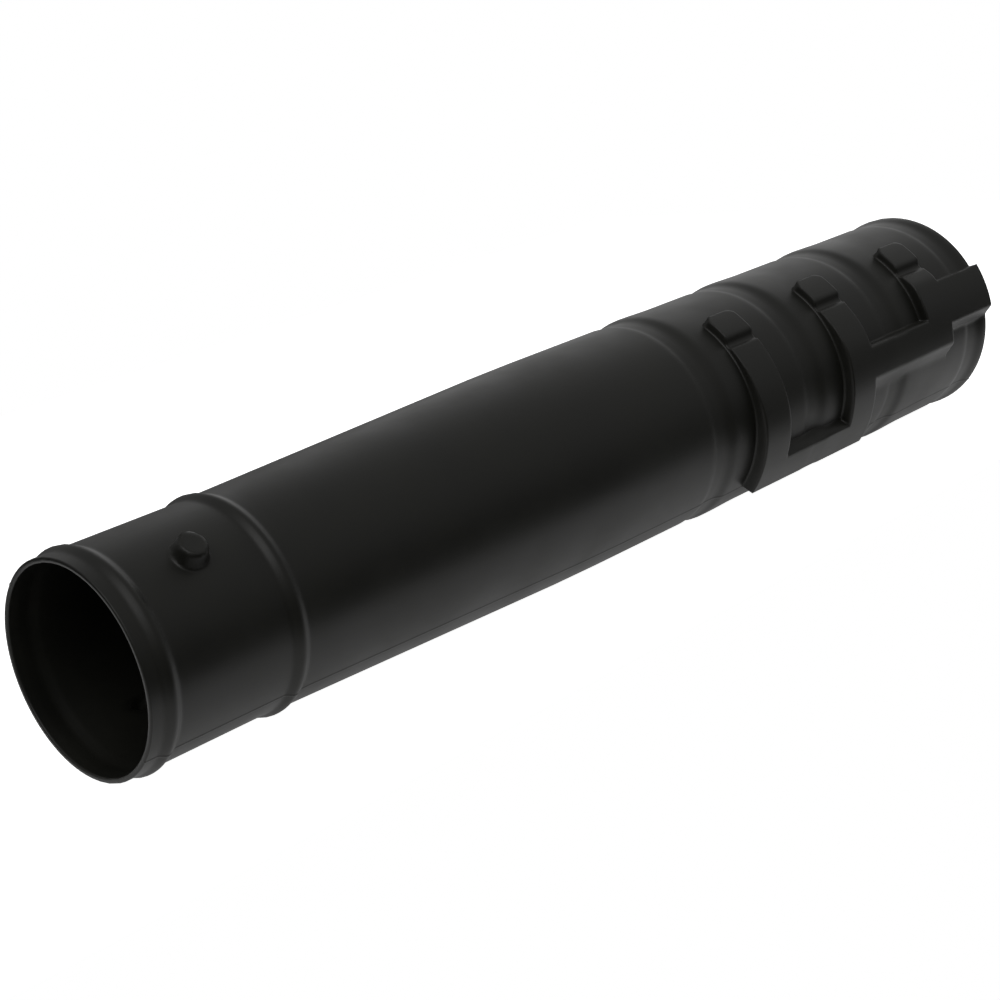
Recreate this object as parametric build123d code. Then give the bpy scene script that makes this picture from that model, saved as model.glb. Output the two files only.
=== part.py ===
from build123d import *
import os
from math import asin, cos, degrees, hypot, isclose, radians, sin

# A blow-moulded blower tube. The axis lies along +X, the spigot mouth is at X = 0
# and the socket mouth at X = length. Millimetres and degrees.

# Tube
length = 436.0
wall = 1.8
spigot_d = 72.0
cone_start_d = 72.9
cone_end_x = 196.0
socket_d = 79.3

# Two hollow beads round the spigot
bead_1_x = 8.0
bead_2_x = 57.6
bead_width = 7.2
bead_height = 1.3
bead_to_cone = 3.8

# Round locking nub on the spigot
nub_x = 33.0
nub_d = 12.6
nub_top_d = 8.8
nub_height = 3.6
nub_round = 0.8

# Shallow seats round the socket, each followed by a step up and a low rib
seat_count = 4
seat_pitch = 55.3
seat_width = 10.0
seat_depth = 0.3
seat_slope = 1.2
seat_step = 0.32
rib_height = 0.35
rib_width = 7.0
rib_slope = 2.0
lip_length = 4.1

# Raised track that the nub of the next tube runs in, stepped round the socket
track_rise = 3.72
branch_offset = 23.7
branch_width = 16.5
crest_round = 1.2
pocket_corner = 3.5
saddle_height = 1.0

# The two mould halves pull apart along this angle from straight up, with the tube at rest
mould_pull = 45.0
mould_half = 180.0

# Angles round the axis, from the mould pull
nub_angle = -5.0
pocket_start = -14.0
pocket_end = 4.0
ramp_start = 7.0
mouth_level_start = 17.0
mouth_level_end = 41.3
middle_level_start = 34.5
middle_level_end = 51.9
last_level_start = 71.0

spigot_r = spigot_d / 2
socket_r = socket_d / 2
lip_r = socket_r + seat_count * seat_step + rib_height
track_r = lip_r + track_rise
core_r = spigot_r / 2
cone_start_x = bead_2_x + bead_width / 2 + bead_to_cone
first_seat_x = length - lip_length - seat_width - (seat_count - 1) * seat_pitch
first_branch_x = first_seat_x + branch_offset
middle_branch_x = first_branch_x + seat_pitch
last_branch_x = middle_branch_x + seat_pitch
pocket_middle = (pocket_start + pocket_end) / 2
mouth_level_reach = track_r * sin(radians(mouth_level_end))
middle_level_reach = track_r * sin(radians(middle_level_end))


def tube_body(inset):
    """Solid of revolution inside the outer skin, inset by a wall and run past both mouths."""
    r = spigot_r - inset
    half_bead = bead_width / 2
    neck = [(-inset, 0), (-inset, r), (bead_1_x - half_bead, r)]
    between = [(bead_1_x + half_bead, r), (bead_2_x - half_bead, r)]
    rest = [
        (bead_2_x + half_bead, r),
        (cone_start_x, cone_start_d / 2 - inset),
        (cone_end_x, socket_r - inset),
    ]
    for seat in range(seat_count):
        x = first_seat_x + seat * seat_pitch
        before = socket_r + seat * seat_step - inset
        after = before + seat_step
        rest += [
            (x, before),
            (x + seat_slope, before - seat_depth),
            (x + seat_width - seat_slope, before - seat_depth),
            (x + seat_width, after + rib_height),
        ]
        if seat < seat_count - 1:
            rest += [
                (x + seat_width + rib_width - rib_slope, after + rib_height),
                (x + seat_width + rib_width, after),
            ]
    rest += [(length + inset, after + rib_height), (length + inset, 0), (-inset, 0)]
    with BuildPart() as body:
        with BuildSketch(Plane.XZ):
            with BuildLine():
                Polyline(*neck)
                ThreePointArc(neck[-1], (bead_1_x, r + bead_height), between[0])
                Line(*between)
                ThreePointArc(between[1], (bead_2_x, r + bead_height), rest[0])
                Polyline(*rest)
            make_face()
        revolve(axis=Axis.X)
    return body.part


def round_point(radius, angle):
    """Point at a radius and an angle from the mould pull, as pull and side distances."""
    return (radius * cos(radians(angle)), radius * sin(radians(angle)))


def pull_plane(x, angle):
    """Plane on the axis whose normal points outwards, at an angle from straight up."""
    turn = radians(angle)
    return Plane(origin=(x, 0, 0), x_dir=(1, 0, 0), z_dir=(0, -sin(turn), cos(turn)))


def cross_plane(x, angle):
    """Plane across the axis: its X points outwards at an angle from straight up."""
    turn = radians(angle)
    return Plane(origin=(x, 0, 0), x_dir=(0, -sin(turn), cos(turn)), z_dir=(1, 0, 0))


def track_run(x_start, x_end, start_angle, reach, radius, inset, pull):
    """One raised run of the track, with a radial upper wall and a lower wall along the pull.

    reach is the lower wall's distance from the pull line. With no reach, the lower
    wall lies in the parting plane.
    """
    top = radius - inset
    wall_turn = degrees(asin(inset / top))
    along = round_point(core_r, start_angle)
    across = round_point(inset, start_angle + 90)
    upper_foot = (along[0] + across[0], along[1] + across[1])
    if reach is None:
        end_angle = 90 - wall_turn
        lower_foot = (inset, 0)
    else:
        end_angle = degrees(asin((reach - inset) / top))
        lower_foot = (0, reach - inset)
    upper_top = round_point(top, start_angle + wall_turn)
    lower_top = round_point(top, end_angle)
    middle = round_point(top, (start_angle + wall_turn + end_angle) / 2)
    with BuildPart() as run:
        with BuildSketch(cross_plane(x_start + inset, pull)):
            with BuildLine():
                Line(upper_foot, upper_top)
                ThreePointArc(upper_top, middle, lower_top)
                Polyline(lower_top, lower_foot, upper_foot)
            make_face()
        extrude(amount=x_end - x_start - 2 * inset)
    return run.part


def pocket(x_start, inset, pull):
    """Closed end of a branch, where the nub of the next tube comes to rest."""
    width = 2 * track_r * sin(radians(pocket_end - pocket_middle))
    middle = x_start + branch_width / 2
    with BuildPart() as block:
        with BuildSketch(pull_plane(middle, pull + pocket_middle)):
            RectangleRounded(branch_width, width, pocket_corner)
            offset(amount=-inset, mode=Mode.REPLACE)
        extrude(amount=2 * track_r)
        with Locations(Plane(origin=(middle, 0, 0), z_dir=(1, 0, 0))):
            Cylinder(track_r - inset, branch_width, mode=Mode.INTERSECT)
    return block.part


def nub(inset, pull):
    """Round boss on the spigot, with its skin carried down into the tube wall."""
    taper = (nub_d - nub_top_d) / 2 / nub_height
    top = spigot_r + nub_height - inset
    foot = spigot_r - wall - inset
    top_r = nub_top_d / 2 - inset
    with BuildPart() as boss:
        with BuildSketch(pull_plane(nub_x, pull + nub_angle).offset(foot)):
            Circle(top_r + taper * (top - foot))
        with BuildSketch(pull_plane(nub_x, pull + nub_angle).offset(top)):
            Circle(top_r)
        loft()
    return boss.part


def skin(inset):
    """Everything inside the skin at an inset: the tube, both nubs and both tracks."""
    solid = tube_body(inset)
    mouth_end = length + 2 * inset
    saddle_reach = track_r * sin(radians(mouth_level_start))
    for pull in (mould_pull, mould_pull + mould_half):
        solid += nub(inset, pull)
        branches = (
            (first_branch_x, None),
            (middle_branch_x, None),
            (last_branch_x, middle_level_reach),
        )
        for steps, (x, reach) in enumerate(branches, start=1):
            x_end = x + branch_width
            saddle_r = socket_r + steps * seat_step + saddle_height
            solid += pocket(x, inset, pull)
            solid += track_run(x, x_end, pocket_middle, saddle_reach, saddle_r, inset, pull)
            solid += track_run(x, x_end, ramp_start, reach, track_r, inset, pull)
        runs = (
            (first_branch_x, middle_branch_x + branch_width, last_level_start, None),
            (middle_branch_x, last_branch_x + branch_width, middle_level_start, middle_level_reach),
            (last_branch_x, mouth_end, mouth_level_start, mouth_level_reach),
        )
        for x, x_end, start_angle, reach in runs:
            solid += track_run(x, x_end, start_angle, reach, track_r, inset, pull)
    return solid


def is_crest(edge):
    """Whether an edge runs along the top of a track."""
    points = [edge @ share for share in (0, 0.5, 1)]
    return all(isclose(hypot(point.Y, point.Z), track_r, abs_tol=0.01) for point in points)


def is_nub_rim(edge):
    """Whether an edge runs round the top of a nub."""
    return edge.geom_type == GeomType.CIRCLE and isclose(edge.radius, nub_top_d / 2, abs_tol=0.01)


def rounded(solid):
    """The outer skin with the edges that the mould leaves soft."""
    solid = solid.fillet(crest_round, [edge for edge in solid.edges() if is_crest(edge)])
    return solid.fillet(nub_round, [edge for edge in solid.edges() if is_nub_rim(edge)])


os.makedirs("parts", exist_ok=True)
nozzle_tube = rounded(skin(0)) - skin(wall)
export_step(nozzle_tube, "parts/nozzle_tube.step")
print("nozzle tube", round(nozzle_tube.volume / 1000, 1), "cubic centimetres,", len(nozzle_tube.solids()), "solid")
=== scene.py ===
# %% [markdown]
# A blower nozzle, one blow-moulded tube of black plastic, dressed around its imported CAD solid.
# The CAD solid is the fixed frame: it says how large the tube is and where it lies. Its box is
# kept here, and the paper is laid at its lowest point.

# %% Load the frame
import math

import bpy
from mathutils import Matrix, Vector


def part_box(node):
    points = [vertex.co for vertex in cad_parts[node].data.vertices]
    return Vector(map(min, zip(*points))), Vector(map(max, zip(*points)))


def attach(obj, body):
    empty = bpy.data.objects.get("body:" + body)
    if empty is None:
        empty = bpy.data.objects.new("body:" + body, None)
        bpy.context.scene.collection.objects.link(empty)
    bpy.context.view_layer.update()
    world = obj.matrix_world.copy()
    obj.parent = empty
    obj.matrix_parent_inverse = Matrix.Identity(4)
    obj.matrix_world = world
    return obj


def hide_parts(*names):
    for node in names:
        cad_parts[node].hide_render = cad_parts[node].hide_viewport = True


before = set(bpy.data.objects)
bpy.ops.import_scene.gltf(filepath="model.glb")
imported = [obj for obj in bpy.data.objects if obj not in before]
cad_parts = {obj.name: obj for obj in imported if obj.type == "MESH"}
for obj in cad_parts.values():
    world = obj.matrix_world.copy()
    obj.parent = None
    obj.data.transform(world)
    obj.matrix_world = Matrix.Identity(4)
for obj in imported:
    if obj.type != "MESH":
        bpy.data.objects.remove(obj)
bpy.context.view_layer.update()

MM = 0.001
low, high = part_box("nozzle_tube")
print("CAD tube, mm:", [round(side / MM, 1) for side in high - low])

# %% [markdown]
# The whole shape follows a rule: at each place along the axis and round it, the skin has one
# radius. It could be modelled by hand, or joined from solids with Booleans and then bevelled. A
# rule is chosen because each size stays one number that is easy to correct, and because it gives
# the soft corners of blown plastic everywhere at once.

# %% Sizes along the axis, in millimetres from the spigot mouth
length = 436.0
bead_places = (8.0, 57.6)
nub_x = 33.0
nub_reach = 6.0
first_seat = 254.8
seat_pitch = 55.3
seat_count = 4
seat_width = 11.0
first_branch = 279.7
branch_width = 16.5
seats = [first_seat + seat * seat_pitch for seat in range(seat_count)]
branches = [first_branch + branch * seat_pitch for branch in range(seat_count - 1)]
print("seats at", [round(place, 1) for place in seats])
print("branches at", [round(place, 1) for place in branches])

# %% Angles round the axis, in degrees
# The mould's pull is measured from straight up, and all the others from the pull.
mould_pull = 45.0
half_turn = 180.0
half_from = -60.0
half_to = half_from + half_turn
pocket_start = -14.0
nub_angle = -5.0
branch_start = 7.0
mouth_level = 17.0
middle_level = 34.5
mouth_pull_wall = 41.3
middle_pull_wall = 51.9
last_level = 71.0
parting = 90.0
print("one mould half runs from", half_from, "to", half_to, "degrees from its pull")

# %% [markdown]
# The tube is first a flat sheet of points, whose X is the place along the axis in millimetres,
# whose Y is the angle round it in degrees, and whose Z says outer or inner skin. An even sheet
# would waste its points on the plain cone. This one is graded instead: its rows are close where
# the skin turns, at beads, seats and track walls, and wide apart elsewhere.

# %% Rows along the axis
def graded(start, end, turns, growth):
    """Places from start to end, as close as the nearest turn asks and wider away from it."""
    places = [start]
    while places[-1] < end:
        here = places[-1]
        places.append(here + min(finest + growth * abs(here - place) for place, finest in turns))
    stretch = (end - start) / (places[-1] - start)
    return [start + stretch * (place - start) for place in places]


# Each pair is a place where the skin turns, and how far apart the rows are there.
rows_at = [(0.0, 0.12), (length, 0.12)]
for place in bead_places:
    rows_at += [(place + offset, 0.45) for offset in (-3.0, -0.6, 0.6, 3.0)]
nub_turns = (0.2 - nub_reach, 1.5 - nub_reach, nub_reach - 1.5, nub_reach - 0.2)
rows_at += [(nub_x + offset, 0.45) for offset in nub_turns]
for place in seats:
    rows_at += [(place + 1.6, 0.6), (place + seat_width, 0.9)]
for place in branches:
    rows_at += [(place + 0.2, 0.14), (place + branch_width - 0.4, 0.3)]
inner_coarser = 4.0
inner_rows_at = [(place, inner_coarser * finest) for place, finest in rows_at[1:]]
inner_rows_at += [(0.0, 0.3), (length, 0.3)]
outer_rows = graded(0.0, length, rows_at, 0.29)
inner_rows = graded(0.0, length, inner_rows_at, 0.6)
print(len(outer_rows), "outer rows,", len(inner_rows), "inner rows")

# %% Columns round the axis, the same on both mould halves
columns_at = [(pocket_start, 0.5), (nub_angle, 1.6), (4.0, 0.5), (branch_start, 0.7), (15.0, 1.2)]
columns_at += [(mouth_level + 1.0, 0.6), (middle_level + 1.0, 0.6), (mouth_pull_wall, 0.7)]
columns_at += [(46.0, 0.8), (52.0, 0.7), (59.0, 1.0), (last_level + 1.0, 0.6), (parting, 0.25)]
half_columns = graded(half_from, half_to, columns_at, 0.2)[:-1]
columns = [mould_pull + turn + angle for turn in (0.0, half_turn) for angle in half_columns]
print(len(columns), "columns")

# %% The flat sheet, joined edge to edge so that it closes when it is rolled up
rows = [(along, 0.0) for along in outer_rows] + [(along, 1.0) for along in reversed(inner_rows)]
sheet_points = [(along, angle, side) for along, side in rows for angle in columns]
sheet_faces = []
for row in range(len(rows)):
    this_row = row * len(columns)
    next_row = (row + 1) % len(rows) * len(columns)
    for column in range(len(columns)):
        next_column = (column + 1) % len(columns)
        near_side = (this_row + column, this_row + next_column)
        far_side = (next_row + next_column, next_row + column)
        sheet_faces.append(near_side + far_side)
tube_mesh = bpy.data.meshes.new("nozzle_skin")
tube_mesh.from_pydata(sheet_points, [], sheet_faces)
tube = bpy.data.objects.new("nozzle_skin", tube_mesh)
bpy.context.scene.collection.objects.link(tube)
print("sheet of", len(sheet_faces), "faces")

# %% [markdown]
# One small function adds a node to any tree, for shapes and finishes alike. It takes the node's
# settings by name and its inputs in order, and gives back the first output to link onwards.
# Placing nodes one by one in the editor would do the same, but a script can loop and can be read.

# %% Helpers for node trees
def add_node(tree, kind, inputs=(), **settings):
    """Adds a node with its settings. Each input is a socket to link, a value, or None to leave."""
    node = tree.nodes.new(kind)
    for name, value in settings.items():
        setattr(node, name, value)
    for socket, value in zip(node.inputs, inputs):
        if isinstance(value, bpy.types.NodeSocket):
            tree.links.new(value, socket)
        elif value is not None:
            socket.default_value = value
    return node.outputs[0] if node.outputs else node


def new_tree(name, sizes, output):
    """A node group with a named number input for each size, and one output."""
    tree = bpy.data.node_groups.new(name, "GeometryNodeTree")
    for label in sizes:
        tree.interface.new_socket(label, in_out="INPUT", socket_type="NodeSocketFloat")
    tree.interface.new_socket(output, in_out="OUTPUT", socket_type="NodeSocketFloat")
    given = add_node(tree, "NodeGroupInput").node
    return tree, given.outputs


soft = {"interpolation_type": "SMOOTHSTEP"}
print("helpers ready, and soft steps use", soft["interpolation_type"])

# %% [markdown]
# The plain skin first. The spigot is a cylinder with two round hollow beads that grip the next
# tube, a slight cone follows, and the socket has four shallow seats at an even pitch. A Screw
# modifier on a drawn profile would give the same skin, but the track has to know the skin's radius
# at every point, so the skin is a rule in a tree of its own. Every step is a smoothstep, because
# blown plastic never fills a corner.

# %% Skin of revolution: spigot, beads and cone
cone_start = 65.0
cone_end = 196.0
neck_start = 54.5
neck_end = 61.0
bead_half_width = 3.6
bead_half_crown = 0.1
skin_sizes = ["Along", "Spigot radius", "Cone start radius", "Socket radius", "Bead height"]
skin_sizes += ["Seat depth", "Seat step", "Rib height"]
skin_rule, given = new_tree("skin_of_revolution", skin_sizes, "Radius")
along = given["Along"]
cone_ends = (along, cone_start, cone_end, given["Cone start radius"], given["Socket radius"])
radius = add_node(skin_rule, "ShaderNodeMapRange", cone_ends)
neck = (given["Cone start radius"], given["Spigot radius"])
neck = add_node(skin_rule, "ShaderNodeMath", neck, operation="SUBTRACT")
neck = add_node(skin_rule, "ShaderNodeMapRange", (along, neck_start, neck_end, neck, 0.0), **soft)
radius = add_node(skin_rule, "ShaderNodeMath", (radius, neck), operation="SUBTRACT")
for place in bead_places:
    rise = (along, place - bead_half_width, place - bead_half_crown, 0.0, given["Bead height"])
    fall = (along, place + bead_half_crown, place + bead_half_width, 0.0, given["Bead height"])
    rise = add_node(skin_rule, "ShaderNodeMapRange", rise, **soft)
    fall = add_node(skin_rule, "ShaderNodeMapRange", fall, **soft)
    bead = add_node(skin_rule, "ShaderNodeMath", (rise, fall), operation="SUBTRACT")
    radius = add_node(skin_rule, "ShaderNodeMath", (radius, bead), operation="ADD")
print("spigot and cone take", len(skin_rule.nodes), "nodes")

# %% [markdown]
# After each seat the skin steps up and a low rib fades out, so the pattern is the same thing moved
# on. Four copies of the same nodes would work. A modulo does the moving instead, so that one
# description serves all four seats.

# %% Skin of revolution: seats
seat_fall = 3.2
seat_half_rise = 3.0
rib_hold = 4.0
rib_width = 22.0
past_first = add_node(skin_rule, "ShaderNodeMath", (along, first_seat), operation="SUBTRACT")
turns_past = add_node(skin_rule, "ShaderNodeMath", (past_first, seat_pitch), operation="DIVIDE")
seats_past = add_node(skin_rule, "ShaderNodeMath", (turns_past,), operation="FLOOR")
seats_past = add_node(skin_rule, "ShaderNodeMath", (seats_past, 0.0), operation="MAXIMUM")
moved_on = add_node(skin_rule, "ShaderNodeMath", (seats_past, seat_pitch), operation="MULTIPLY")
from_seat = add_node(skin_rule, "ShaderNodeMath", (past_first, moved_on), operation="SUBTRACT")
steps_up = (seats_past, given["Seat step"])
steps_up = add_node(skin_rule, "ShaderNodeMath", steps_up, operation="MULTIPLY")
up = (given["Seat depth"], given["Seat step"])
up = add_node(skin_rule, "ShaderNodeMath", up, operation="ADD")
up = add_node(skin_rule, "ShaderNodeMath", (up, given["Rib height"]), operation="ADD")
seat_edges = (
    (0.0, seat_fall, given["Seat depth"], "SUBTRACT"),
    (seat_width - seat_half_rise, seat_width + seat_half_rise, up, "ADD"),
    (seat_width + rib_hold, seat_width + rib_width, given["Rib height"], "SUBTRACT"),
)
radius = add_node(skin_rule, "ShaderNodeMath", (radius, steps_up), operation="ADD")
for start, end, height, operation in seat_edges:
    edge = (from_seat, start, end, 0.0, height)
    edge = add_node(skin_rule, "ShaderNodeMapRange", edge, **soft)
    radius = add_node(skin_rule, "ShaderNodeMath", (radius, edge), operation=operation)
add_node(skin_rule, "NodeGroupOutput", (radius,))
print("skin rule has", len(skin_rule.nodes), "nodes")

# %% [markdown]
# The raised track is what makes this nozzle lock: the nub of the next tube runs along it and drops
# into one of three pockets. It is built from runs. Each run is a rounded rectangle on the skin. It
# could be a bevelled box joined on with a Boolean, but such joins are hard to keep soft. Here the
# distance in from the outline is found first, and the wall climbs over it as a smoothstep.
# The same rule, moved in by one wall thickness, gives the hollow on the inner skin.

# %% One raised run: the distance in from its outline
run_sizes = ["Along", "Arc", "Angle", "Skin radius", "Inset", "Start", "End", "Upper", "Lower"]
run_sizes += ["Corner", "Wall width", "Reach", "Ramp from", "Ramp level", "Ramp slope"]
run_rule, given = new_tree("raised_run", run_sizes, "Radius")
outside = []
for place, start, end in (("Along", "Start", "End"), ("Arc", "Upper", "Lower")):
    ends = add_node(run_rule, "ShaderNodeMath", (given[start], given[end]), operation="ADD")
    middle = add_node(run_rule, "ShaderNodeMath", (ends, 0.5), operation="MULTIPLY")
    span = add_node(run_rule, "ShaderNodeMath", (given[end], middle), operation="SUBTRACT")
    straight = (span, given["Corner"])
    straight = add_node(run_rule, "ShaderNodeMath", straight, operation="SUBTRACT")
    offset = add_node(run_rule, "ShaderNodeMath", (given[place], middle), operation="SUBTRACT")
    offset = add_node(run_rule, "ShaderNodeMath", (offset,), operation="ABSOLUTE")
    outside.append(add_node(run_rule, "ShaderNodeMath", (offset, straight), operation="SUBTRACT"))
deepest = add_node(run_rule, "ShaderNodeMath", outside, operation="MAXIMUM")
deepest = add_node(run_rule, "ShaderNodeMath", (deepest, 0.0), operation="MINIMUM")
beyond = []
for part in outside:
    beyond.append(add_node(run_rule, "ShaderNodeMath", (part, 0.0), operation="MAXIMUM"))
beyond = add_node(run_rule, "ShaderNodeCombineXYZ", beyond)
beyond = add_node(run_rule, "ShaderNodeVectorMath", (beyond,), operation="LENGTH")
beyond = beyond.node.outputs["Value"]
distance = add_node(run_rule, "ShaderNodeMath", (deepest, beyond), operation="ADD")
inwards = add_node(run_rule, "ShaderNodeMath", (given["Corner"], distance), operation="SUBTRACT")
inwards = add_node(run_rule, "ShaderNodeMath", (inwards, given["Inset"]), operation="SUBTRACT")
print("the outline takes", len(run_rule.nodes), "nodes")

# %% [markdown]
# Two planes may then cut the run lower: a wall along the mould's pull, without which the mould
# could not open, and a ramp up from a pocket. A smooth minimum with each plane rounds the edge
# where they meet the run, which a plain minimum would leave sharp.

# %% One raised run: its walls, the wall along the pull, and the ramp
wall_foot = -0.4
wall_top = 0.6
below_skin = -3.0
above_skin = 5.6
least_sine = 0.05
pull_round = 0.6
ramp_round = 1.0
across_wall = (inwards, given["Wall width"])
across_wall = add_node(run_rule, "ShaderNodeMath", across_wall, operation="DIVIDE")
walls = (across_wall, wall_foot, wall_top, below_skin, above_skin)
walls = add_node(run_rule, "ShaderNodeMapRange", walls, **soft)
walls = add_node(run_rule, "ShaderNodeMath", (walls, given["Skin radius"]), operation="ADD")
sine = add_node(run_rule, "ShaderNodeMath", (given["Angle"],), operation="RADIANS")
sine = add_node(run_rule, "ShaderNodeMath", (sine,), operation="SINE")
sine = add_node(run_rule, "ShaderNodeMath", (sine, least_sine), operation="MAXIMUM")
reach = add_node(run_rule, "ShaderNodeMath", (given["Reach"], given["Inset"]), operation="SUBTRACT")
pull_wall = add_node(run_rule, "ShaderNodeMath", (reach, sine), operation="DIVIDE")
up_ramp = (given["Arc"], given["Ramp from"])
up_ramp = add_node(run_rule, "ShaderNodeMath", up_ramp, operation="SUBTRACT")
level = (given["Ramp level"], given["Inset"])
level = add_node(run_rule, "ShaderNodeMath", level, operation="SUBTRACT")
ramp = (up_ramp, given["Ramp slope"], level)
ramp = add_node(run_rule, "ShaderNodeMath", ramp, operation="MULTIPLY_ADD")
height = (walls, pull_wall, pull_round)
height = add_node(run_rule, "ShaderNodeMath", height, operation="SMOOTH_MIN")
height = add_node(run_rule, "ShaderNodeMath", (height, ramp, ramp_round), operation="SMOOTH_MIN")
add_node(run_rule, "NodeGroupOutput", (height,))
print("run rule has", len(run_rule.nodes), "nodes")

# %% [markdown]
# The tree for the whole tube puts the rules together. Each half of the real mould cuts the same
# shape, so angles are taken modulo half a turn from the pull, and one description serves both.
# Mirroring or turning a finished half would leave a join to weld at the parting. The sizes are the
# tree's named inputs, in millimetres, so that they can also be changed in the modifier's panel.

# %% The tube's tree: its inputs
tube_sizes = {
    "Wall": 1.8,
    "Spigot radius": 36.0,
    "Cone start radius": 36.45,
    "Socket radius": 39.65,
    "Bead height": 1.3,
    "Seat depth": 0.4,
    "Seat step": 0.32,
    "Rib height": 0.35,
    "Track radius": 45.0,
    "Wall width": 2.0,
    "Pocket height": 3.3,
    "Saddle height": 1.2,
    "Nub height": 5.2,
    "Seam height": 0.2,
    "Edge round": 0.25,
}
tube_rule = bpy.data.node_groups.new("blow_moulded_tube", "GeometryNodeTree")
tube_rule.interface.new_socket("Geometry", in_out="INPUT", socket_type="NodeSocketGeometry")
for label in tube_sizes:
    tube_rule.interface.new_socket(label, in_out="INPUT", socket_type="NodeSocketFloat")
tube_rule.interface.new_socket("Material", in_out="INPUT", socket_type="NodeSocketMaterial")
tube_rule.interface.new_socket("Geometry", in_out="OUTPUT", socket_type="NodeSocketGeometry")
given = add_node(tube_rule, "NodeGroupInput").node.outputs
print("tube tree has", len(tube_sizes), "sizes")

# %% The tube's tree: places and plain skin
# The hollow of a bead is shallower than the bead, so the inner skin takes a share of its height.
inner_bead_share = 0.5
place = add_node(tube_rule, "GeometryNodeInputPosition")
place = add_node(tube_rule, "ShaderNodeSeparateXYZ", (place,)).node.outputs
along = place["X"]
inset = add_node(tube_rule, "ShaderNodeMath", (place["Z"], given["Wall"]), operation="MULTIPLY")
angle = add_node(tube_rule, "ShaderNodeMath", (place["Y"], mould_pull), operation="SUBTRACT")
angle = add_node(tube_rule, "ShaderNodeMath", (angle, half_to, half_from), operation="WRAP")
fill = (place["Z"], inner_bead_share - 1.0, 1.0)
fill = add_node(tube_rule, "ShaderNodeMath", fill, operation="MULTIPLY_ADD")
bead_height = (given["Bead height"], fill)
bead_height = add_node(tube_rule, "ShaderNodeMath", bead_height, operation="MULTIPLY")
skin_inputs = [along] + [given[label] for label in skin_sizes[1:]]
skin_inputs[skin_sizes.index("Bead height")] = bead_height
skin = add_node(tube_rule, "GeometryNodeGroup", skin_inputs, node_tree=skin_rule)
skin = add_node(tube_rule, "ShaderNodeMath", (skin, inset), operation="SUBTRACT")
print("tube tree has", len(tube_rule.nodes), "nodes so far")

# %% [markdown]
# The track climbs round the socket like a stair: three levels, each with a branch that ends in a
# pocket. A table says where each run lies, which is easier to check against the real tube than
# node after node. The branches start low beside the pockets and rise slowly to the level of the
# track, so each has a ramp. Two levels end in a wall along the pull, at a reach from the pull line.

# %% The track's runs, as a table of where each one lies
# ARC is millimetres for each degree round the axis, at the radius of the track.
ARC = math.radians(tube_sizes["Track radius"])
run_corner = 1.0
no_reach = 200.0
no_ramp = (-500.0, 0.0, 1.0)
branch_lift = 2.0
past_mouth = 20.0
middle_reach = tube_sizes["Track radius"] * math.sin(math.radians(middle_pull_wall))
mouth_reach = tube_sizes["Track radius"] * math.sin(math.radians(mouth_pull_wall))
branch_ends = [left + branch_width for left in branches]
skins = [tube_sizes["Socket radius"] + steps * tube_sizes["Seat step"] for steps in (1, 2, 3)]

# Start and end along the axis, upper and lower angle, reach of the pull wall, and the ramp.
runs = [
    (branches[0], branch_ends[1], last_level, parting, no_reach, no_ramp),
    (branches[1], branch_ends[2], middle_level, 70.0, middle_reach, no_ramp),
    (branches[2], length + past_mouth, mouth_level, 60.0, mouth_reach, no_ramp),
]
branch_rises = ((80.0, 0.08), (80.0, 0.139), (44.0, 0.34))
for left, right, skin_here, (lower, slope) in zip(branches, branch_ends, skins, branch_rises):
    ramp = (branch_start * ARC, skin_here + branch_lift, slope)
    runs.append((left, right, branch_start, lower, no_reach, ramp))
print(len(runs), "runs on each mould half")

# %% [markdown]
# The runs are joined with a smooth maximum, cut level at the crest with a smooth minimum, and later
# set on the skin with another smooth maximum. Those three give the fillets of a blown part. A
# Bevel modifier would need clean edges to work on, and this skin has none.

# %% Join the runs and level them
arc = add_node(tube_rule, "ShaderNodeMath", (angle, ARC), operation="MULTIPLY")
wall_width = given["Wall width"]
run_round = 1.5
crest_round = 0.9


def raised_run(start, end, upper, lower, corner, reach, ramp):
    """One run in the tube's tree, from its row in the table."""
    inputs = (along, arc, angle, skin, inset, start, end, upper * ARC, lower * ARC, corner)
    inputs += (wall_width, reach) + ramp
    return add_node(tube_rule, "GeometryNodeGroup", inputs, node_tree=run_rule)


track = None
for start, end, upper, lower, reach, ramp in runs:
    run = raised_run(start, end, upper, lower, run_corner, reach, ramp)
    if track:
        run = add_node(tube_rule, "ShaderNodeMath", (track, run, run_round), operation="SMOOTH_MAX")
    track = run
crest = add_node(tube_rule, "ShaderNodeMath", (given["Track radius"], inset), operation="SUBTRACT")
track = add_node(tube_rule, "ShaderNodeMath", (track, crest, crest_round), operation="SMOOTH_MIN")
print("tube tree has", len(tube_rule.nodes), "nodes so far")

# %% [markdown]
# A pocket is where the nub of the next tube comes to rest. It is a small block that stands lower
# than the track and slopes off towards its branch, and a low saddle joins the two, so that the nub
# clicks over it. Both are runs too, with a level of their own above the skin.

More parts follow.
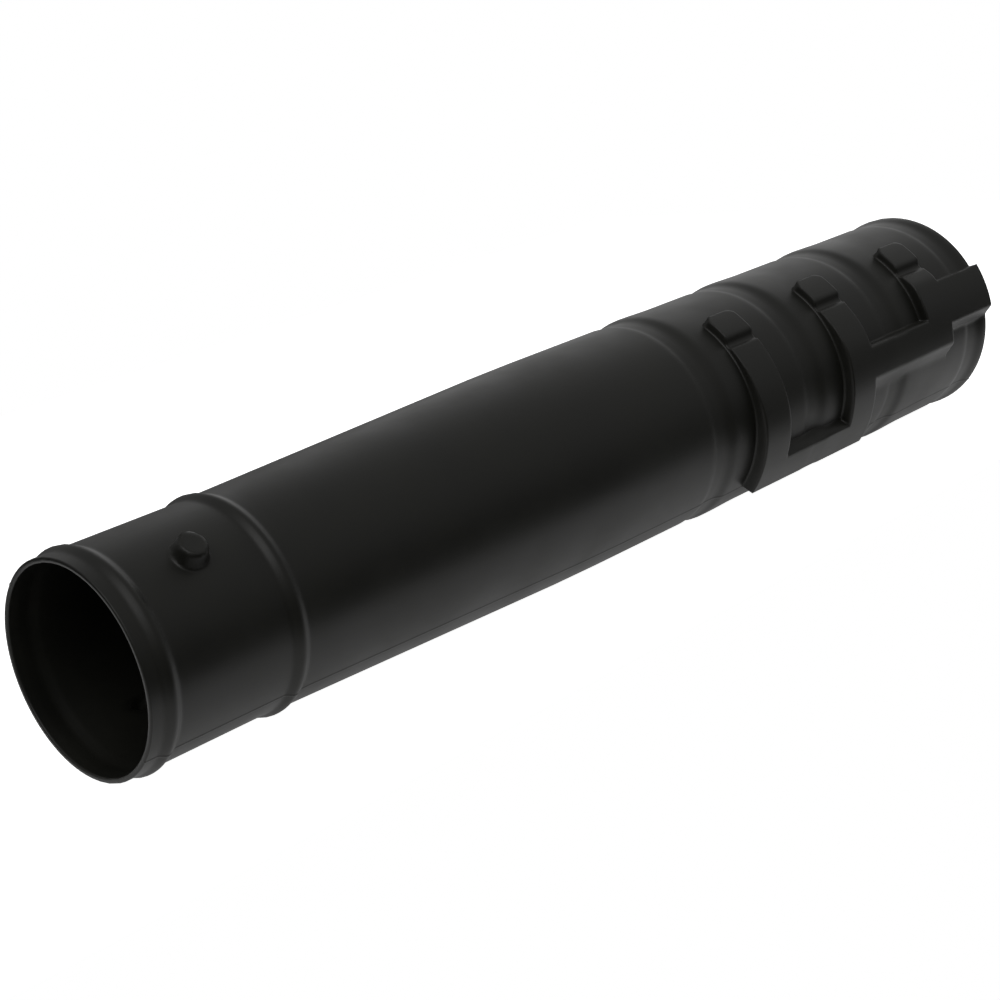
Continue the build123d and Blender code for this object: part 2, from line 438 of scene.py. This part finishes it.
# %% Pockets and saddles, and all of it set on the skin
pocket_ramp_from = 5.0
pocket_ramp_lift = 1.2
pocket_ramp_slope = -0.9
pocket_corner = 3.5
bump_round = 1.0
bump_join = 1.2
foot_round = 0.8
for left, right, skin_here, steps in zip(branches, branch_ends, skins, (1.0, 2.0, 3.0)):
    pocket_ramp = (pocket_ramp_from * ARC, skin_here + pocket_ramp_lift, pocket_ramp_slope)
    bumps = (
        (pocket_start, branch_start, pocket_corner, pocket_ramp, "Pocket height"),
        (nub_angle, mouth_level, run_corner, no_ramp, "Saddle height"),
    )
    for upper, lower, corner, ramp, lift in bumps:
        bump = raised_run(left, right, upper, lower, corner, no_reach, ramp)
        level = (steps, given["Seat step"], given[lift])
        level = add_node(tube_rule, "ShaderNodeMath", level, operation="MULTIPLY_ADD")
        level = (given["Socket radius"], level)
        level = add_node(tube_rule, "ShaderNodeMath", level, operation="ADD")
        level = add_node(tube_rule, "ShaderNodeMath", (level, inset), operation="SUBTRACT")
        bump = (bump, level, bump_round)
        bump = add_node(tube_rule, "ShaderNodeMath", bump, operation="SMOOTH_MIN")
        track = (track, bump, bump_join)
        track = add_node(tube_rule, "ShaderNodeMath", track, operation="SMOOTH_MAX")
radius = add_node(tube_rule, "ShaderNodeMath", (skin, track, foot_round), operation="SMOOTH_MAX")
print("tube tree has", len(tube_rule.nodes), "nodes so far")

# %% [markdown]
# The nub is a round boss with a flat top and drafted sides. It could be a cone joined on, but then
# its foot would need a fillet on a round skin. Here its height comes from the distance to its
# centre, measured on the skin, and a smooth maximum makes the foot.

# %% The nub
nub_slope = 3.3
nub_wall_share = 1.7
nub_round = 1.0
least_lean = 0.5
across = add_node(tube_rule, "ShaderNodeMath", (angle, nub_angle), operation="SUBTRACT")
across = add_node(tube_rule, "ShaderNodeMath", (across,), operation="RADIANS")
sideways = (across, given["Spigot radius"])
sideways = add_node(tube_rule, "ShaderNodeMath", sideways, operation="MULTIPLY")
endways = add_node(tube_rule, "ShaderNodeMath", (along, nub_x), operation="SUBTRACT")
from_nub = add_node(tube_rule, "ShaderNodeCombineXYZ", (endways, sideways))
from_nub = add_node(tube_rule, "ShaderNodeVectorMath", (from_nub,), operation="LENGTH")
from_nub = from_nub.node.outputs["Value"]
inwards = add_node(tube_rule, "ShaderNodeMath", (nub_reach, from_nub), operation="SUBTRACT")
inwards = (inset, -nub_wall_share, inwards)
inwards = add_node(tube_rule, "ShaderNodeMath", inwards, operation="MULTIPLY_ADD")
sides = add_node(tube_rule, "ShaderNodeMath", (inwards, nub_slope, skin), operation="MULTIPLY_ADD")
top = (given["Spigot radius"], given["Nub height"])
top = add_node(tube_rule, "ShaderNodeMath", top, operation="ADD")
top = add_node(tube_rule, "ShaderNodeMath", (top, inset), operation="SUBTRACT")
lean = add_node(tube_rule, "ShaderNodeMath", (across,), operation="COSINE")
lean = add_node(tube_rule, "ShaderNodeMath", (lean, least_lean), operation="MAXIMUM")
top = add_node(tube_rule, "ShaderNodeMath", (top, lean), operation="DIVIDE")
nub = add_node(tube_rule, "ShaderNodeMath", (sides, top, nub_round), operation="SMOOTH_MIN")
radius = add_node(tube_rule, "ShaderNodeMath", (radius, nub, foot_round), operation="SMOOTH_MAX")
print("tube tree has", len(tube_rule.nodes), "nodes so far")

# %% [markdown]
# A fine seam stands where the mould halves met, and the cut ends are a little rounded, as a trimmed
# and deburred mouth is. Both are too small to model by hand, and each is one step in the rule.

# %% The seam and the trimmed ends
seam_half_crown = 0.1
seam_half_width = 0.55
outer = add_node(tube_rule, "ShaderNodeMath", (1.0, place["Z"]), operation="SUBTRACT")
from_seam = add_node(tube_rule, "ShaderNodeMath", (angle, parting), operation="SUBTRACT")
from_seam = add_node(tube_rule, "ShaderNodeMath", (from_seam,), operation="ABSOLUTE")
seam = (from_seam, seam_half_crown, seam_half_width, given["Seam height"], 0.0)
seam = add_node(tube_rule, "ShaderNodeMapRange", seam, **soft)
radius = add_node(tube_rule, "ShaderNodeMath", (seam, outer, radius), operation="MULTIPLY_ADD")
to_far_end = add_node(tube_rule, "ShaderNodeMath", (length, along), operation="SUBTRACT")
to_end = add_node(tube_rule, "ShaderNodeMath", (along, to_far_end), operation="MINIMUM")
trim = (to_end, 0.0, given["Edge round"], given["Edge round"], 0.0)
trim = add_node(tube_rule, "ShaderNodeMapRange", trim, interpolation_type="SMOOTHERSTEP")
towards = add_node(tube_rule, "ShaderNodeMath", (place["Z"], 2.0, -1.0), operation="MULTIPLY_ADD")
radius = add_node(tube_rule, "ShaderNodeMath", (trim, towards, radius), operation="MULTIPLY_ADD")
print("tube tree has", len(tube_rule.nodes), "nodes so far")

# %% [markdown]
# Now every point has its radius, so the flat sheet can be rolled up round the axis. Set Position
# moves each point to its place, in metres. Realize Instances and Set Material close the tree.

# %% Roll the sheet up
turn = add_node(tube_rule, "ShaderNodeMath", (place["Y"],), operation="RADIANS")
side = add_node(tube_rule, "ShaderNodeMath", (turn,), operation="SINE")
side = add_node(tube_rule, "ShaderNodeMath", (side, radius), operation="MULTIPLY")
side = add_node(tube_rule, "ShaderNodeMath", (side, -1.0), operation="MULTIPLY")
rise = add_node(tube_rule, "ShaderNodeMath", (turn,), operation="COSINE")
rise = add_node(tube_rule, "ShaderNodeMath", (rise, radius), operation="MULTIPLY")
rolled = add_node(tube_rule, "ShaderNodeCombineXYZ", (along, side, rise))
rolled = add_node(tube_rule, "ShaderNodeVectorMath", (rolled, (MM, MM, MM)), operation="MULTIPLY")
shaped = add_node(tube_rule, "GeometryNodeSetPosition", (given["Geometry"], None, rolled))
shaped = add_node(tube_rule, "GeometryNodeSetShadeSmooth", (shaped,))
shaped = add_node(tube_rule, "GeometryNodeRealizeInstances", (shaped,))
shaped = add_node(tube_rule, "GeometryNodeSetMaterial", (shaped, None, given["Material"]))
add_node(tube_rule, "NodeGroupOutput", (shaped,))
print("tube rule has", len(tube_rule.nodes), "nodes")

# %% [markdown]
# The plastic is high-density polyethylene, blow moulded: a parison is blown against a lightly
# blasted mould. To the eye it is a deep black with a satin sheen that lifts towards grazing angles,
# a fine pebbled grain from the mould, and faint lengthwise lines from the die that the parison
# came out of. An image texture would need unwrapping and would blur up close. Noise on the tube's
# own coordinates needs neither, and stays in place in any view.

# %% HDPE, blow moulded, black: its grain
def linear(hex_colour):
    """An sRGB hex colour as linear red, green, blue and alpha."""
    channels = [int(hex_colour[start:start + 2], 16) / 255 for start in (1, 3, 5)]
    return [c / 12.92 if c <= 0.04045 else ((c + 0.055) / 1.055) ** 2.4 for c in channels] + [1.0]


plastic = bpy.data.materials.new("hdpe_blow_moulded_black")
plastic.use_nodes = True
tree = plastic.node_tree
tree.nodes.clear()
# A blasted mould leaves a grain of about 0.3 mm. That is too fine to show here, so it is coarser.
grain_mm = 0.9
die_line_mm = 2.2
die_line_squeeze = 0.03
cloud_mm = 25.0
where = add_node(tree, "ShaderNodeTexCoord").node.outputs["Object"]
grain = add_node(tree, "ShaderNodeTexNoise", (where, None, 1 / (grain_mm * MM), 3.0, 0.55))
stretched = (where, None, None, (die_line_squeeze, 1.0, 1.0))
stretched = add_node(tree, "ShaderNodeMapping", stretched)
lines = add_node(tree, "ShaderNodeTexNoise", (stretched, None, 1 / (die_line_mm * MM), 2.0, 0.5))
clouds = add_node(tree, "ShaderNodeTexNoise", (where, None, 1 / (cloud_mm * MM), 3.0, 0.55))
print("grain", grain_mm, "mm, die lines", die_line_mm, "mm, clouds", cloud_mm, "mm")

# %% HDPE, blow moulded, black: its colour, sheen and relief
# Polyethylene's IOR is close to 1.5. The grain scatters part of the sheen, so specular is lowered.
cloud_low = 0.3
cloud_high = 0.7
shader = add_node(tree, "ShaderNodeBsdfPrincipled")
bsdf = shader.node
bsdf.inputs["IOR"].default_value = 1.5
bsdf.inputs["Specular IOR Level"].default_value = 0.3
tone = add_node(tree, "ShaderNodeValToRGB", (clouds,))
stops = ((cloud_low, "#141411"), (cloud_high, "#191915"))
for stop, (position, colour) in zip(tone.node.color_ramp.elements, stops):
    stop.position = position
    stop.color = linear(colour)
tree.links.new(tone, bsdf.inputs["Base Color"])
gloss = add_node(tree, "ShaderNodeMapRange", (clouds, cloud_low, cloud_high, 0.40, 0.48))
tree.links.new(gloss, bsdf.inputs["Roughness"])
relief = add_node(tree, "ShaderNodeMath", (lines, 0.5, grain), operation="MULTIPLY_ADD")
bump = add_node(tree, "ShaderNodeBump")
bump.node.inputs["Strength"].default_value = 0.12
bump.node.inputs["Distance"].default_value = 0.1 * MM
tree.links.new(relief, bump.node.inputs["Height"])
tree.links.new(bump, bsdf.inputs["Normal"])
add_node(tree, "ShaderNodeOutputMaterial", (shader,))
print("plastic has", len(tree.nodes), "nodes")

# %% [markdown]
# The modifier's inputs are set by their identifiers before the tube is first evaluated. Then the
# result becomes a plain mesh, the modifier goes, and the tube takes the place of the CAD node.

# %% Shape the tube and put it in the frame
modifier = tube.modifiers.new("shape", "NODES")
modifier.node_group = tube_rule
for item in tube_rule.interface.items_tree:
    if item.in_out == "INPUT" and item.name in tube_sizes:
        modifier[item.identifier] = tube_sizes[item.name]
    if item.in_out == "INPUT" and item.name == "Material":
        modifier[item.identifier] = plastic
graph = bpy.context.evaluated_depsgraph_get()
rolled_mesh = bpy.data.meshes.new_from_object(tube.evaluated_get(graph), depsgraph=graph)
tube.modifiers.remove(modifier)
tube.data = rolled_mesh
bpy.data.meshes.remove(tube_mesh)
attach(tube, "root")
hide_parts("nozzle_tube")
rolled_mesh.calc_loop_triangles()
print("tube has", len(rolled_mesh.loop_triangles), "triangles")

# %% [markdown]
# The stage is a sheet of white paper in a dim room. The photograph was taken against pure white, so
# the camera sees the paper as white, and past its edge a white room. To reflections the paper is as
# bright as a lit sheet, and to all other rays it is matt paper, which sends soft light up onto the
# tube. Brighter lamps would whiten it too, but would wash out the black.

# %% Paper
def straight_view(tree, rays):
    """Whether a ray comes straight from the camera, or through something clear."""
    straight = (rays["Is Camera Ray"], rays["Is Transmission Ray"])
    return add_node(tree, "ShaderNodeMath", straight, operation="MAXIMUM")


paper_x = (-0.12, 0.90)
paper_y = (-0.085, 0.60)
paper_glow = 0.44
corners = [(paper_x[0], paper_y[0], low.z), (paper_x[1], paper_y[0], low.z)]
corners += [(paper_x[1], paper_y[1], low.z), (paper_x[0], paper_y[1], low.z)]
floor_mesh = bpy.data.meshes.new("floor")
floor_mesh.from_pydata(corners, [], [(0, 1, 2, 3)])
floor = bpy.data.objects.new("floor", floor_mesh)
bpy.context.scene.collection.objects.link(floor)
paper = bpy.data.materials.new("white_paper")
paper.use_nodes = True
tree = paper.node_tree
tree.nodes.clear()
rays = add_node(tree, "ShaderNodeLightPath").node.outputs
clear_view = straight_view(tree, rays)
mirrored = (rays["Is Glossy Ray"], paper_glow)
mirrored = add_node(tree, "ShaderNodeMath", mirrored, operation="MULTIPLY")
glow = add_node(tree, "ShaderNodeMath", (clear_view, 1.0, mirrored), operation="MULTIPLY_ADD")
matt = add_node(tree, "ShaderNodeBsdfDiffuse", (linear("#f2f2f2"),))
white = add_node(tree, "ShaderNodeEmission", (linear("#ffffff"), glow))
both = add_node(tree, "ShaderNodeAddShader", (matt, white))
add_node(tree, "ShaderNodeOutputMaterial", (both,))
floor_mesh.materials.append(paper)
print("paper from", corners[0], "to", corners[2])

# %% [markdown]
# The room is a pale ceiling that darkens towards the ground, and a little towards the spigot end.
# It gives the broad, soft sheen along the top of the tube, which a picture of a real room would
# break up into patches.

# %% Room
bright_way = (0.3, 0.0, 1.0)
room_edges = (-0.15, 0.6)
room_levels = (0.02, 0.42)
world = bpy.data.worlds.new("dim_room")
bpy.context.scene.world = world
world.use_nodes = True
tree = world.node_tree
tree.nodes.clear()
rays = add_node(tree, "ShaderNodeLightPath").node.outputs
clear_view = straight_view(tree, rays)
facing = add_node(tree, "ShaderNodeTexCoord").node.outputs["Generated"]
height = add_node(tree, "ShaderNodeVectorMath", (facing, bright_way), operation="DOT_PRODUCT")
height = height.node.outputs["Value"]
level = add_node(tree, "ShaderNodeMapRange", (height, *room_edges, *room_levels), **soft)
ceiling = add_node(tree, "ShaderNodeBackground", (linear("#ffffff"), level))
white = add_node(tree, "ShaderNodeBackground", (linear("#ffffff"), 1.0))
room = add_node(tree, "ShaderNodeMixShader", (clear_view, ceiling, white))
add_node(tree, "ShaderNodeOutputWorld", (room,))
print("room has", len(tree.nodes), "nodes")

# %% [markdown]
# Two lamps finish the light: a wide soft one, low behind the socket end, and a fill high in front
# of the spigot. Suns are chosen because their light is even along the whole tube, where a lamp
# close by would fade from one end to the other. Their wide angle keeps every edge soft.

# %% Lamps
lamps = {
    "wide_soft_lamp": ((0.86, 0.44, 0.26), 0.28, 50.0),
    "front_fill": ((-0.54, -0.42, 0.73), 1.0, 44.0),
}
for name, (lamp_from, energy, spread) in lamps.items():
    light = bpy.data.lights.new(name, "SUN")
    light.energy = energy
    light.angle = math.radians(spread)
    lamp = bpy.data.objects.new(name, light)
    lamp.location = Vector(lamp_from)
    lamp.rotation_euler = Vector(lamp_from).to_track_quat("Z", "Y").to_euler()
    bpy.context.scene.collection.objects.link(lamp)
    print(name, energy, "W per square metre")

# %% [markdown]
# The camera stands where the photographer stood: in front of the spigot mouth, to one side of the
# axis and a little above it. The lens and the place were fitted to the tube's edges in the
# photograph. The tube lies turned a little about its axis here, so that it rests on its side,
# and the camera is turned with it.

# %% Camera
azimuth = math.radians(-46.58)
elevation = math.radians(24.66)
lie_turn = math.radians(14.0)
aside = 0.12625
above = 0.05108
away = 0.64152
right = Vector((math.cos(azimuth), math.sin(azimuth), 0.0))
flat_back = Vector((math.sin(azimuth), -math.cos(azimuth), 0.0))
back = flat_back * math.cos(elevation) + Vector((0.0, 0.0, math.sin(elevation)))
up = back.cross(right)
level_camera = Matrix((right, up, back)).transposed().to_4x4()
level_camera.translation = right * aside + up * above + back * away
lens = bpy.data.cameras.new("camera")
lens.sensor_width = 36.0
lens.lens = 77.65
lens.clip_start = 0.01
camera = bpy.data.objects.new("camera", lens)
camera.matrix_world = Matrix.Rotation(lie_turn, 4, "X") @ level_camera
bpy.context.scene.collection.objects.link(camera)
bpy.context.scene.camera = camera
bpy.context.scene.view_settings.view_transform = "Standard"
print("camera at", [round(c, 3) for c in camera.matrix_world.translation])

# %% [markdown]
# Last, the view layer is brought up to date.

# %% Finish
bpy.context.view_layer.update()
